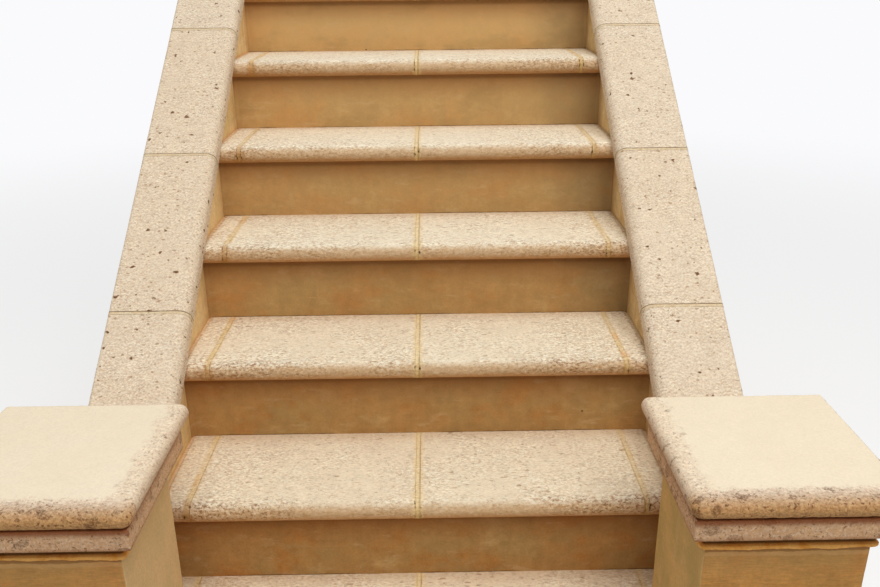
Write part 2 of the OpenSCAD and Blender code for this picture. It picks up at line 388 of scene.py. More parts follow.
def nose_stain_and_shade(f, colour, edge, mottle):
    """Browner down the round of a nose, deepest where it turns under: partly a stain, partly painted shade.
    """
    down = edge + (mottle - 0.5) * 0.014
    # partly a stain, partly painted shade: the round gets browner and darker as it turns down and under
    colour = f.mix(f.step(down, 0.030, 0.004) * 0.62, colour, NOSE_TAN_AND_SHADE)
    colour = f.mix(f.step(down, 0.000, -0.022) * 0.40, colour, NOSE_RUST_AND_SHADE)
    colour = f.paint_shade(f.step(down, 0.004, -0.014) * f.step(f.z, 0.88, 1.00), colour, HIGH_NOSE_SHADE)
    return f.paint_shade(f.step(down, -0.010, -0.026), colour, NOSE_SHADE)


def joint_wash(f, colour, ragged, wide, washed, thin, edge):
    """Mortar washed over the joints of a tread and along the walls, rusty at the nose."""
    middle = seam(f, ragged, 0.0, 0.0100, 0.0062)
    colour = f.mix(middle * 0.55, colour, f.tone(MIDDLE_WASH, thin))
    outer = SLAB_LEN + JOINT
    side = seam(f, ragged, outer, 0.0082, 0.0058)
    ochre = f.mix(f.step(wide, 0.50, 0.68) * f.step(washed, 0.44, 0.64), OCHRE, ORANGE)
    colour = f.mix(side * (f.step(washed, 0.30, 0.60) * 0.24 + 0.36), colour, f.tone(ochre, thin))
    stained = seam(f, ragged, outer, 0.0100, 0.0120) * f.step(edge + (wide - 0.5) * 0.05, 0.050, 0.008)
    colour = f.mix(stained * ((f.x < 0.0) * 0.34 + 0.16), colour, f.tone(SEAM_RUST, thin))
    at_wall = seam(f, ragged, WALL_X + 0.002, 0.0085, 0.0060)
    return f.mix(at_wall * 0.58, colour, f.tone(f.mix(f.x > 0.0, WALL_LINE_RIGHT, WALL_LINE_LEFT), thin))


def tread_finish(name, hair_line):
    """Tread stones and the mortar washed over their joints share one pattern, so that it runs on."""
    f = Finish(name)
    p = f.move(f.place, shift=(0.31, 0.17, 0.05))
    edge = f.attribute("edge")
    up = f.step(f.z, 0.12, 1.30)
    # painted light: the stone is lighter up the flight, where more of the sky reaches it
    cream = f.mix(up * 0.78, CREAM, LIT_HIGH_CREAM)
    pink = f.mix(up * 0.78, PINK, LIT_HIGH_PINK)
    wide = f.noise(p, 17.0, 2.0, 0.6)
    rough = f.step(f.sum("ABSOLUTE", f.x) + (wide - 0.5) * 0.5, 0.14, 0.46)
    area = f.step(f.noise(p, 6.5, 3.0, 0.6, shift=(2.0, 8.0, 3.0)) + (rough - 0.5) * 0.10
                  + f.step(edge, 0.14, 0.02) * 0.06, 0.36, 0.66)
    near = (f.step(f.z, 0.30, 0.70) * 0.30 + 0.60) * (area * 0.95 + 0.50)
    colour, height, mottle, grit = stone_body(f, p, cream, pink, 0.50, 230.0, near * 1.35, 0.8, 0.44)

    marks = f.chips(f.move(p, (0.40, 1, 1), (3.0, 1.0, 2.0)), 84.0, 0.18, 0.06, 0.24, 0.05, 0.8)
    dashes = f.chips(f.move(p, (0.30, 1, 1), (7.0, 4.0, 1.0)), 120.0, 0.26, 0.08, 0.26, 0.05, 0.8)
    crumbs = f.chips(f.move(p, (0.7, 1, 1)), 44.0, 0.08, 0.08, 0.20, 0.06, 0.7)
    colour = f.mix(crumbs * 0.35, colour, FADED_CRUMB)
    colour = f.mix(dashes * 0.40, colour, DASH)
    colour = f.mix(marks * 0.52, colour, MARK)

    runs = f.step(f.noise(p, 8.0, 3.0, 0.6, shift=(6.0, 2.0, 9.0)) + (rough - 0.5) * 0.16, 0.42, 0.60)
    worn = f.step(edge + (wide - 0.5) * 0.03, 0.050, 0.026) * f.step(edge, -0.024, -0.004)
    worn = worn * (runs * 0.62 + 0.44) * (1.0 - up * 0.40)
    gnawed = f.noise(p, 205.0, 3.0, 0.70, (0.62, 1, 1), (9.0, 4.0, 6.0)) + rough * 0.035
    pits = f.step(gnawed, 0.548, 0.635) * worn
    # painted highlights: pale crests between the pits of the worn nose
    highlight_crests = f.step(gnawed, 0.455, 0.355) * worn
    colour = nose_stain_and_shade(f, colour, edge, mottle)
    colour = f.mix(highlight_crests * (rough * 0.36 + 0.48), colour, CREST_HIGHLIGHT)
    colour = f.mix(pits * (rough * 0.34 + 0.42), colour, f.mix(f.step(mottle, 0.4, 0.6), PIT_DARK, PIT_RUST))

    behind = f.attribute("shade")
    # painted shade and dirt: the tread browner towards the riser behind it
    colour = f.mix(f.step(behind + (mottle - 0.5) * 0.02, 0.060, 0.0) * 0.30, colour, BACK_SHADE_AND_DIRT)
    ragged = f.noise(p, 75.0, 3.0, 0.65)
    washed = f.noise(p, 9.0, 2.0, shift=(5.0, 5.0, 5.0))
    colour = joint_wash(f, colour, ragged, wide, washed, (grit - 0.5) * 0.8 + 1.0, edge)
    if hair_line:
        off = f.x + (mottle - 0.5) * 0.004
        rim = JOINT / 2
        hair = f.step(off, rim - 0.0036, rim - 0.0026) * f.step(off, rim + 0.0004, rim - 0.0006)
        hair = hair * (f.step(washed, 0.34, 0.60) * 0.24 + f.step(edge, 0.05, 0.01) * 0.06 + 0.08)
        colour = f.mix(hair, colour, HAIR_LINE)
        height = height - hair * 0.2
    return f.finish(colour, 0.88, height - pits * 0.8 + highlight_crests * 0.4 - marks * 0.3, 0.0018, 0.65)


def coping_stone(name, joint):
    """Coping stones, and with the tan wash and a hair line their joints."""
    f = Finish(name)
    p = f.move(f.place, shift=(1.7, 0.9, 2.3))
    area = f.step(f.noise(p, 9.0, 3.0, 0.6, shift=(2.0, 8.0, 3.0)), 0.34, 0.66)
    grain = area * 0.4 + 0.72
    colour, height, mottle, grit = stone_body(f, p, COPING_CREAM, COPING_PINK, 0.8, 250.0, grain, 0.5)
    hollow = f.move(p, (0.8, 1, 1), (5.0, 8.0, 1.0))
    holes = f.chips(hollow, 54.0, 0.20, 0.04, 0.24, 0.06, 0.95)
    deep = f.chips(hollow, 54.0, 0.20, 0.00, 0.16, 0.04, 0.95)
    marks = f.chips(f.move(p, (0.6, 1, 1), (2.0, 3.0, 4.0)), 104.0, 0.40, 0.05, 0.27, 0.06, 0.9)
    colour = f.mix(marks * 0.60, colour, COPING_MARK)
    colour = f.mix(holes * 0.85, colour, HOLE_RIM)
    colour = f.mix(deep * 0.70, colour, HOLE_FLOOR)
    height = height - holes * 1.3 - marks * 0.4
    if joint:
        along = f.attribute("edge")
        wash = f.mix(f.step(mottle, 0.42, 0.60), COPING_WASH, COPING_WASH_WARM)
        wash = f.tone(wash, (grit - 0.5) * 0.6 + 1.0)
        colour = f.mix(f.step(along, 0.0, 0.0016) * 0.60, colour, wash)
        wander = along + (mottle - 0.5) * 0.003
        hair = f.step(wander, 0.0006, 0.0014) * f.step(wander, 0.0034, 0.0026)
        colour = f.mix(hair * (f.step(f.noise(p, 14.0, 2.0), 0.36, 0.60) * 0.40 + 0.50), colour, COPING_HAIR)
        height = height - hair
    return f.finish(colour, 0.88, height, 0.0016, 0.6)


def cap_stone(name, lower):
    """Cap slabs: a smooth cream top and rough, speckled edges, browned by painted shade down their rounds;
    the lower slab is rough all over, with a painted shadow along its top.
    """
    f = Finish(name)
    p = f.move(f.place, shift=(4.1, 2.9, 0.7))
    edge = f.attribute("edge")
    shade = f.attribute("shade")
    if lower:
        colour, height, mottle, grit = stone_body(f, p, SLAB_ROSE, SLAB_TAN, 1.0, 240.0, 0.55, 0.40)
    else:
        cream = f.mix(shade, CAP_WARM, CAP_CREAM)
        dull = f.tone(cream, 0.95)
        grain = shade * 0.45 + 0.75
        colour, height, mottle, grit = stone_body(f, p, cream, dull, 1.0, 230.0, grain, 0.55)
    cluster = f.noise(p, 26.0, 2.0, 0.5)
    speckle = f.noise(p, 150.0, 3.0, 0.66, shift=(6.0, 1.0, 8.0)) + (cluster - 0.5) * 0.14
    specks = f.step(speckle, 0.590, 0.640)
    pebbles = f.chips(f.move(p, (0.75, 1, 1), (2.0, 6.0, 4.0)), 33.0, 0.46, 0.14, 0.40, 0.04, 1.1)
    broken = f.step(f.noise(p, 240.0, 3.0, 0.6), 0.42, 0.56)
    if not lower:
        # painted shade: the inner round of the cap browner as it turns under
        colour = f.mix(f.step(edge, -0.004, -0.036) * (1.0 - shade) * 0.34, colour, CAP_SIDE_SHADE)
        specks = specks * (shade * 0.4 + 0.6)
    colour = f.mix(pebbles * (broken * 0.46 + 0.18), colour, PEBBLE)
    colour = f.mix(specks * 0.72, colour, CAP_SPECK)
    height = height - pebbles * 0.3 - specks * 0.5
    if lower:
        # painted shadow along the top of the lower slab, under the upper one
        colour = f.mix(shade * 0.88, colour, SLAB_SHADE)
        foot = f.step(f.z, BED_TOP + 0.0105, BED_TOP + 0.0020)
        colour = f.mix(foot * 0.45, colour, SLAB_FOOT)
    else:
        low_edge = edge + (mottle - 0.5) * 0.008
        # painted shade darkening the front round of the cap as it turns down
        for start, full, tint in CAP_FRONT_PAINTED_SHADES:
            colour = f.paint_shade(f.step(low_edge, start, full) * shade, colour, tint)
        smooth = f.mix(f.noise(p, 9.0, 2.0), SMOOTH_WARM, SMOOTH_CREAM)
        smooth = f.tone(smooth, (grit - 0.5) * 0.26 + (mottle - 0.5) * 0.07 + 1.0)
        ragged = f.noise(p, 70.0, 3.0, 0.65)
        inside = edge - shade * 0.050
        ground = f.step(inside + (ragged - 0.5) * 0.06 + (cluster - 0.5) * 0.05, 0.002, 0.034)
        colour = f.mix(ground, colour, smooth)
        height = height * (1.0 - ground * 0.90)
    return f.finish(colour, 0.82, height, 0.0016, 0.6)


def trowelled(f, p, ground, olive, rusty, pale):
    """Trowelled render: soft blotches of moss and rust, faint streaks, fine sand."""
    wide = f.noise(p, 4.2, 2.0, 0.55, (1.0, 1.0, 1.4))
    blotch = f.noise(p, 9.0, 4.0, 0.62, (1.0, 1.0, 1.4), (4.0, 1.0, 2.0))
    patch = f.noise(p, 34.0, 4.0, 0.64, shift=(8.0, 3.0, 5.0))
    streak = f.noise(p, 9.0, 3.0, 0.6, (1.6, 1.6, 9.0))
    run = f.noise(p, 12.0, 3.0, 0.6, (3.0, 3.0, 0.6), (2.0, 7.0, 1.0))
    grain = f.noise(p, 210.0, 3.0, 0.65)
    colour = f.mix(f.step(wide, 0.38, 0.64) * 0.85, ground, olive)
    colour = f.mix(f.step(blotch, 0.50, 0.68) * 0.62, colour, rusty)
    colour = f.mix(f.step(blotch, 0.45, 0.30) * 0.50, colour, pale)
    colour = f.tone(colour, (patch - 0.5) * 0.52 + (streak - 0.5) * 0.16 + (run - 0.5) * 0.34
                    + (grain - 0.5) * 0.50 + 1.0)
    return colour, grain * 0.4 + patch * 0.5 + streak * 0.3, blotch, wide


def riser_render():
    """Render of the risers: paler up the flight by painted light, a painted shadow under each nose, dark
    along its foot, painted shade at its ends.
    """
    f = Finish("riser_render")
    p = f.place
    colour, height, blotch, wide = trowelled(f, p, *RISER_TONES)
    # painted light: the render paler up the flight, where more of the sky reaches it
    light = f.step(f.z, 0.15, 1.45) * 0.54 + f.step(f.z, 1.24, 1.34) * 0.16
    colour = f.mix(light, colour, RISER_PAINTED_LIGHT)
    moss = f.step(f.noise(p, 5.5, 4.0, 0.62, (1.0, 1.0, 1.8), (5.0, 9.0, 4.0)), 0.52, 0.66)
    colour = f.mix(moss * 0.22, colour, RISER_MOSS)
    scuff = f.step(f.noise(p, 13.0, 5.0, 0.68, (1.0, 1.0, 3.0), (3.0, 2.0, 7.0)), 0.56, 0.70)
    colour = f.mix(scuff * 0.34, colour, RISER_SCUFF)
    dots = f.chips(p, 17.0, 0.10, 0.015, 0.045, 0.012, 0.03)
    colour = f.mix(dots * 0.8, colour, RISER_DOT)
    down = f.attribute("edge")
    # painted shadow under each nose, deepest just below it
    nose_shadow = f.step(down + (blotch - 0.5) * 0.03, 0.090, 0.002)
    colour = f.mix(nose_shadow * 0.46, colour, UNDER_NOSE_SHADOW)
    colour = f.mix(f.step(down, 0.018, 0.008) * 0.30, colour, UNDER_NOSE_DEEP_SHADOW)
    foot = f.attribute("shade") + (f.noise(p, 34.0, 3.0, 0.6) - 0.5) * 0.006
    line = f.step(foot, 0.0026, 0.0004) * f.step(wide, 0.40, 0.52)
    colour = f.mix(line * 0.60, colour, RISER_FOOT)
    uneven = (wide - 0.5) * 0.05
    # painted shade at both ends of each riser, where it meets the walls
    ends = f.step(f.sum("ABSOLUTE", f.x) + uneven, WALL_X - 0.090, WALL_X - 0.004)
    colour = f.mix(ends * 0.12, colour, RISER_END_SHADE)
    # painted shade over the right end of the middle risers
    shaded = f.step(f.x + uneven, WALL_X - 0.24, WALL_X - 0.07) * f.step(f.z, 0.48, 0.70)
    colour = f.paint_shade(shaded, colour, RISER_SHADE)
    return f.finish(colour, 0.92, height - dots * 0.5, 0.0012, 0.45)


def wall_render():
    """Render of the cheek walls, with painted shade in the corner over every tread and a line of mortar
    along it; the left wall is made lighter, a painted light.
    """
    f = Finish("wall_render")
    p = f.move(f.place, shift=(3.1, 3.1, 3.1))
    colour, height, _, wide = trowelled(f, p, *WALL_TONES)
    run = (f.y - FACE_Y) / GOING
    count = f.sum("FLOOR", run) + 1.0
    above = f.z - count * RISE
    ahead = (count - run) * GOING
    inner = f.step(f.sum("ABSOLUTE", f.x), WALL_X + 0.02, WALL_X + 0.01)
    # painted shade in the corner over each tread, where the wall meets the riser
    corner = f.step(ahead + (wide - 0.5) * 0.02, 0.070, 0.002) * (above < RISE - SLAB_T + 0.004)
    colour = f.mix(corner * inner * (0.30 + (f.x > 0.0) * 0.20), colour, WALL_CORNER_SHADE)
    over = f.z - (f.sum("FLOOR", (f.y - FACE_Y + NOSE) / GOING) + 1.0) * RISE
    line = f.step(over + (f.noise(p, 60.0, 2.0) - 0.5) * 0.012, 0.0100, 0.0010) * (over > -0.006)
    colour = f.mix(line * inner * 0.50, colour, f.mix(f.x > 0.0, WALL_LINE_RIGHT, WALL_LINE_LEFT))
    # painted light: the left wall made lighter all over
    colour = f.tone(colour, (f.x < 0.0) * 0.14 + 1.0)
    return f.finish(colour, 0.92, height, 0.0012, 0.45)


def pier_render():
    """Render of the piers: streaked across the front, run down the sides, cracked under the mortar lip; the
    sides of the left pier are paler, a painted light.
    """
    f = Finish("pier_render")
    p = f.move(f.place, shift=(6.3, 6.3, 6.3))
    colour, height, blotch, _ = trowelled(f, p, *PIER_TONES)
    streaks = f.noise(p, 26.0, 3.0, 0.65, (1.4, 1.4, 12.0))
    colour = f.tone(colour, (streaks - 0.5) * 0.70 + 1.0)
    sides = f.mix(f.step(blotch, 0.34, 0.66), PIER_SIDE, PIER_SIDE_DULL)
    drips = f.noise(p, 3.0, 3.0, 0.6, (1.0, 14.0, 1.2), (1.0, 2.0, 3.0))
    sides = f.mix(f.step(drips, 0.50, 0.72) * 0.16, sides, PIER_DRIP)
    # painted light: the sides of the left pier made paler
    sides = f.mix((f.x < 0.0) * 0.5, sides, PIER_SIDE_LIT)
    sides = f.tone(sides, (f.noise(p, 210.0, 3.0, 0.65) - 0.5) * 0.5 + 1.0)
    side = f.attribute("edge")
    colour = f.mix(side, colour, sides)
    high_up = f.step(f.z + (blotch - 0.5) * 0.16, 0.46, 0.56)
    colour = f.mix(high_up * 0.22, colour, PIER_TOP_PALE)
    level = f.z + (f.noise(p, 24.0, 3.0, 0.7) - 0.5) * 0.010
    front = 1.0 - side
    scuff = f.step(level, PIER_TOP - 0.0170, PIER_TOP - 0.0120)
    colour = f.mix(scuff * 0.34 * front, colour, PIER_SCUFF)
    crack = f.step(level, PIER_TOP - 0.0065, PIER_TOP - 0.0045)
    colour = f.mix(crack * 0.50 * front, colour, PIER_CRACK)
    return f.finish(colour, 0.92, height, 0.0014, 0.5)


def lip_mortar():
    """Sandy mortar of the cap beds, darkened by painted shade where it draws in under the slab."""
    f = Finish("lip_mortar")
    patch = f.noise(f.place, 30.0, 3.0, 0.6)
    sand = f.noise(f.place, 300.0, 2.0, 0.6)
    colour = f.mix(f.step(patch, 0.42, 0.66), LIP_PALE, LIP_WARM)
    colour = f.tone(colour, (sand - 0.5) * 0.45 + 1.0)
    # painted shade over the lip where it draws in under the slab
    colour = f.mix(f.attribute("shade") * 0.85, colour, LIP_SHADE)
    return f.finish(colour, 0.92, sand + patch, 0.0012, 0.5)


def core_finish():
    """Rough pale fill of the core, in faint level courses."""
    f = Finish("core")
    courses = f.noise(f.place, 6.0, 4.0, 0.6, (1, 1, 3))
    grain = f.noise(f.place, 160.0, 3.0, 0.7)
    colour = f.tone(f.mix(courses, CORE_PALE, CORE_DULL), (grain - 0.5) * 0.5 + 1.0)
    return f.finish(colour, 0.95, grain, 0.003, 0.6)


# Shells: rings of points joined into closed skins

FAR = 0.2                   # edge of a point that is far from any worn edge
SHARP = math.radians(50)    # creases sharper than this stay hard
EVEN_TINT = 0.5             # tint of what has no tint of its own


class Shell:
    """Closed skins made of rings; a point is (x, y, z), its distance from the worn edge and its shade."""

    def __init__(self):
        self.points = []
        self.faces = []
        self.tints = []

    def loft(self, rings, tint=EVEN_TINT):
        """Joins rings of equally many points into a skin that is closed at both ends."""
        first = len(self.points)
        count = len(rings[0])
        last = first + (len(rings) - 1) * count
        for ring in rings:
            self.points.extend(ring)
            self.tints.extend([tint] * count)
        for start in range(first, last, count):
            for c in range(count):
                a, b = start + c, start + (c + 1) % count
                self.faces.append((a, b, b + count, a + count))
        self.faces.append(tuple(range(first, first + count)))
        self.faces.append(tuple(range(last, last + count)))

    def piece(self, name):
        """Turns the skins into a mesh whose faces point outwards, and puts it in the scene."""
        mesh = bpy.data.meshes.new(name)
        mesh.from_pydata([q[:3] for q in self.points], [], self.faces)
        values = {"edge": [q[3] if len(q) > 3 else FAR for q in self.points],
                  "shade": [q[4] if len(q) > 4 else 0.0 for q in self.points], "tint": self.tints}
        for key, column in values.items():
            mesh.attributes.new(key, "FLOAT", "POINT").data.foreach_set("value", column)
        skin = bmesh.new()
        skin.from_mesh(mesh)
        bmesh.ops.recalc_face_normals(skin, faces=skin.faces)
        for face in skin.faces:
            face.smooth = True
        skin.to_mesh(mesh)
        skin.free()
        mesh.set_sharp_from_angle(angle=SHARP)
        made = bpy.data.objects.new(name, mesh)
        bpy.context.scene.collection.objects.link(made)
        return made


def clamp(value, least=0.0, most=1.0):
    """The value, held between two others."""
    return min(most, max(least, value))


def split(start, end, count):
    """Ends and stops that divide a length into count equal parts."""
    return [start + (end - start) * k / count for k in range(count + 1)]


def between(start, end, step):
    """Even stops from start to end, about step apart."""
    return split(start, end, max(1, round(abs(end - start) / step)))


def arc(cx, cy, radius, start, end, step):
    """Points on an arc, about step apart; angles in degrees."""
    turn = math.radians(end - start)
    count = max(2, round(abs(turn) * radius / step))
    return [(cx + radius * math.cos(math.radians(start) + turn * k / count),
             cy + radius * math.sin(math.radians(start) + turn * k / count)) for k in range(count + 1)]


TOUCHING = 1e-6


def joined(*runs):
    """One closed line of points, without doubled ends where runs meet."""
    line = []
    for run in runs:
        for q in run:
            if not line or math.dist(line[-1], q) > TOUCHING:
                line.append(q)
    if math.dist(line[0], line[-1]) < TOUCHING:
        line.pop()
    return line


def inward(line):
    """Unit directions that point into a closed section."""
    area = sum(a[0] * b[1] - b[0] * a[1] for a, b in zip(line, line[1:] + line[:1]))
    turn = 1.0 if area > 0 else -1.0
    result = []
    for k in range(len(line)):
        a, b = line[k - 1], line[(k + 1) % len(line)]
        dx, dy = b[0] - a[0], b[1] - a[1]
        size = math.hypot(dx, dy) or 1.0
        result.append((-dy / size * turn, dx / size * turn))
    return result


def eased(t, total, radius):
    """How far the skin draws in at distance t along a bar whose ends are rounded."""
    near = min(t, total - t)
    if near >= radius:
        return 0.0
    return radius - math.sqrt(max(0.0, radius * radius - (radius - near) ** 2))


def stops(length, step, radius):
    """Stations along a bar: close together on its rounded ends, even between them."""
    ends = [0.0, radius * 0.12, radius * 0.4]
    return ends + between(radius, length - radius, step) + [length - t for t in reversed(ends)]


def ring_box(x0, x1, y0, y1, radii, nx, ny, turns=4):
    """Outline of a box in plan with a radius for each corner; always the same number of points."""
    a, b, c, d = radii
    ring = []

    def corner(cx, cy, r, start):
        for k in range(turns + 1):
            turn = math.radians(start + 90 * k / turns)
            ring.append((cx + r * math.cos(turn), cy + r * math.sin(turn)))

    corner(x0 + a, y0 + a, a, 180)
    ring.extend((x, y0) for x in split(x0 + a, x1 - b, nx)[1:-1])
    corner(x1 - b, y0 + b, b, 270)
    ring.extend((x1, y) for y in split(y0 + b, y1 - c, ny)[1:-1])
    corner(x1 - c, y1 - c, c, 0)
    ring.extend((x, y1) for x in split(x1 - c, x0 + d, nx)[1:-1])
    corner(x0 + d, y1 - d, d, 90)
    ring.extend((x0, y) for y in split(y1 - d, y0 + a, ny)[1:-1])
    return ring


def mirrored(points, side):
    """The points as they are on the right of the flight, or turned over to its left."""
    return [(q[0] * side,) + tuple(q[1:]) for q in points]


def plan(node):
    """A node's X from its inner to its outer face, as on the right of the flight, and both its corners."""
    lo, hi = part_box(node)
    return min(abs(lo.x), abs(hi.x)), max(abs(lo.x), abs(hi.x)), lo, hi


# Geometry nodes


def new_tree(name, inputs):
    """An empty geometry tree with named inputs, its graph, its inlet's wires and their identifiers."""
    tree = bpy.data.node_groups.new(name, "GeometryNodeTree")
    tree.interface.new_socket("Geometry", in_out="INPUT", socket_type="NodeSocketGeometry")
    keys = {}
    for label, kind, value in inputs:
        socket = tree.interface.new_socket(label, in_out="INPUT", socket_type="NodeSocket" + kind)
        if value is not None:
            socket.default_value = value
        keys[label] = socket.identifier
    tree.interface.new_socket("Geometry", in_out="OUTPUT", socket_type="NodeSocketGeometry")
    g = Graph(tree)
    inlet = tree.nodes.new("NodeGroupInput")
    wires = {socket.name: Wire(g, socket) for socket in inlet.outputs if socket.name}
    return tree, g, wires, keys


def close_tree(g, geometry, material):
    """Makes the instances real and gives them their material."""
    real = g.node("GeometryNodeRealizeInstances", None, {"Geometry": geometry})
    done = g.node("GeometryNodeSetMaterial", None, {"Geometry": real, "Material": material})
    g.node("NodeGroupOutput", None, {0: done}, None)


def weathering_tree():
    """Wears a skin inwards: waves, grain, pits and a rough worn edge."""
    tree, g, given, keys = new_tree("weathering", [
        ("Wave depth", "Float", 0.001), ("Wave size", "Float", 0.08), ("Grain depth", "Float", 0.0004),
        ("Grain size", "Float", 0.01), ("Pit depth", "Float", 0.0015), ("Pit size", "Float", 0.012),
        ("Pit share", "Float", 0.1), ("Edge depth", "Float", 0.0), ("Edge from", "Float", -0.03),
        ("Edge to", "Float", 0.03), ("Seed", "Float", 0.0), ("Finish", "Material", None)])
    seed = given["Seed"]
    shift = g.node("ShaderNodeCombineXYZ", None, {0: seed, 1: seed * 1.7, 2: seed * 0.6})
    place = g.node("ShaderNodeVectorMath", {"operation": "ADD"},
                   {0: g.node("GeometryNodeInputPosition"), 1: shift}, "Vector")
    edge = g.node("GeometryNodeInputNamedAttribute", {"data_type": "FLOAT"}, {"Name": "edge"}, "Attribute")
    wave = g.noise(place, 1.0 / given["Wave size"], 2.0)
    grain = g.noise(place, 1.0 / given["Grain size"], 3.0, 0.6)
    worn = g.step(edge, given["Edge to"], given["Edge to"] * 0.4) \
        * g.step(edge, given["Edge from"], given["Edge from"] * 0.5)
    cell = 1.0 / given["Pit size"]
    pits = g.chips(place, cell, given["Pit share"], 0.10, 0.40, 0.12)
    rough = g.step(g.noise(place, cell, 3.0, 0.7), 0.45, 0.75)
    depth = wave * given["Wave depth"] + grain * given["Grain depth"] + pits * given["Pit depth"] \
        + rough * worn * given["Edge depth"]
    offset = g.node("ShaderNodeVectorMath", {"operation": "SCALE"},
                    {0: g.node("GeometryNodeInputNormal"), "Scale": depth * -1.0}, "Vector")
    moved = g.node("GeometryNodeSetPosition", None, {"Geometry": given["Geometry"], "Offset": offset})
    close_tree(g, moved, given["Finish"])
    return tree, keys


def row_tree():
    """Repeats a skin in a straight row, one move apart."""
    tree, g, given, keys = new_tree("row", [
        ("Count", "Int", 2), ("Along", "Float", 0.0), ("Up", "Float", 0.0), ("Finish", "Material", None)])
    move = g.node("ShaderNodeCombineXYZ", None, {1: given["Along"], 2: given["Up"]})
    line = g.node("GeometryNodeMeshLine", {"mode": "OFFSET"}, {"Count": given["Count"], "Offset": move})
    copies = g.node("GeometryNodeInstanceOnPoints", None, {"Points": line, "Instance": given["Geometry"]})
    close_tree(g, copies, given["Finish"])
    return tree, keys


WEATHERING = weathering_tree()
ROW = row_tree()


def run_nodes(piece, tree, finish, **sizes):
    """Runs a geometry tree on a piece and keeps the result as a plain mesh."""
    group, keys = tree
    worker = piece.modifiers.new("nodes", "NODES")
    worker.node_group = group
    worker[keys["Finish"]] = finish
    for name, value in sizes.items():
        worker[keys[name.replace("_", " ").capitalize()]] = value
    ready = bpy.context.evaluated_depsgraph_get()
    mesh = bpy.data.meshes.new_from_object(piece.evaluated_get(ready))
    piece.modifiers.remove(worker)
    mesh.materials.clear()
    mesh.materials.append(finish)
    mesh.polygons.foreach_set("material_index", [0] * len(mesh.polygons))
    plain = piece.data
    piece.data = mesh
    bpy.data.meshes.remove(plain)
    mesh.name = piece.name


def weathered(shell, name, finish, wear, seed=0.0):
    """The piece that a shell makes, once its skin is worn."""
    piece = shell.piece(name)
    run_nodes(piece, WEATHERING, finish, seed=seed, **wear)
    return piece


def keep(piece, slot, *replaced):
    """Hangs a finished piece on the root and hides the nodes that it stands for; slot, what it is made of,
    is not used.
    """
    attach(piece, "root")
    if replaced:
        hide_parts(*replaced)


TREAD_STONE = tread_finish("tread_stone", False)
COPING_STONE = coping_stone("coping_stone", False)
CAP_STONE = cap_stone("cap_stone", False)
LOWER_SLAB_STONE = cap_stone("lower_slab_stone", True)
RISER_RENDER = riser_render()
WALL_RENDER = wall_render()
PIER_RENDER = pier_render()
JOINT_MORTAR = tread_finish("joint_mortar", True)
COPING_MORTAR = coping_stone("coping_mortar", True)
LIP_MORTAR = lip_mortar()
CORE = core_finish()

# How each skin is worn: depths and sizes in metres
TREAD_WEAR = dict(wave_depth=0.0008, wave_size=0.09, grain_depth=0.0006, grain_size=0.012, pit_depth=0.0014,
                  pit_size=0.012, pit_share=0.05, edge_depth=0.0030, edge_from=-0.020, edge_to=0.034)
COPING_WEAR = dict(wave_depth=0.0010, wave_size=0.09, grain_depth=0.0005, grain_size=0.012, pit_depth=0.0018,
                   pit_size=0.014, pit_share=0.05)
SLAB_WEAR = dict(wave_depth=0.0008, wave_size=0.06, grain_depth=0.0005, grain_size=0.01, pit_depth=0.0012,
                 pit_size=0.012, pit_share=0.08)
CAP_WEAR = dict(wave_depth=0.0010, wave_size=0.10, grain_depth=0.0002, grain_size=0.01, pit_depth=0.0010,
                pit_size=0.012, pit_share=0.03, edge_depth=0.0012, edge_from=-0.2, edge_to=0.030)
RISER_WEAR = dict(wave_depth=0.0020, wave_size=0.11, grain_depth=0.0006, grain_size=0.02, pit_share=0.0)
WALL_WEAR = dict(wave_depth=0.0018, wave_size=0.16, grain_depth=0.0006, grain_size=0.03, pit_share=0.0)
PIER_WEAR = dict(wave_depth=0.0024, wave_size=0.13, grain_depth=0.0008, grain_size=0.02, pit_share=0.0)
LIP_WEAR = dict(wave_depth=0.0008, wave_size=0.03, grain_depth=0.0006, grain_size=0.008, pit_share=0.0)

# Treads, with the mortar in their joints

TREAD_TOP_GAP = 0.0052      # between the points of a section, along its top
SHOULDER, SHOULDER_GAP = 0.02, 0.004    # the same over the last of it before the nose
NOSE_GAP = 0.0031           # round the nose
THROAT, THROAT_GAP = 0.03, 0.01         # under it, back to the riser
TREAD_FOOT_GAP = 0.06       # and where the stone is bedded
REAR_TOP_GAP = 0.005        # along the top of a stone without a nose
STONE_GAP = 0.005           # between the rings of a stone
STONE_ARRIS = 0.0006        # rounding of its ends
BEAD_GAP = 0.003            # the same two for a bead of mortar
BEAD_ARRIS = 0.0004
BEAD_BITE = 0.0016          # how far a bead is washed over the stones beside it
BEAD_PROUD = 0.0002         # how far it stands over them
BURY = 0.004                # how far a skin runs into the piece beside it
BEHIND_PIER = PIER_BACK - tread_y(1)


def tread_section(front_y=0.0):
    """Section of a tread stone as (y, z) over its lower front corner, with the way from its nose line.

    A stone that starts behind the pier has a plain front at front_y and no nose.
    """
    r, depth, thick = NOSE_R, TREAD_DEPTH, SLAB_T
    back = [(depth, 0.0), (depth, thick)]
    if front_y:
        line = joined(back, [(y, thick) for y in between(depth, front_y, REAR_TOP_GAP)], [(front_y, 0.0)])
        return line, [FAR] * len(line)
    line = joined(back,
                  [(y, thick) for y in between(depth, r + SHOULDER, TREAD_TOP_GAP)],
                  [(y, thick) for y in between(r + SHOULDER, r, SHOULDER_GAP)],
                  arc(r, r, r, 90, 270, NOSE_GAP),
                  [(y, 0.0) for y in between(r, r + THROAT, THROAT_GAP)],
                  [(y, 0.0) for y in between(r + THROAT, depth, TREAD_FOOT_GAP)])
    front = min(range(len(line)), key=lambda k: line[k][0])
    run = [0.0]
    for a, b in zip(line, line[1:]):
        run.append(run[-1] + math.dist(a, b))
    return line, [run[front] - d for d in run]


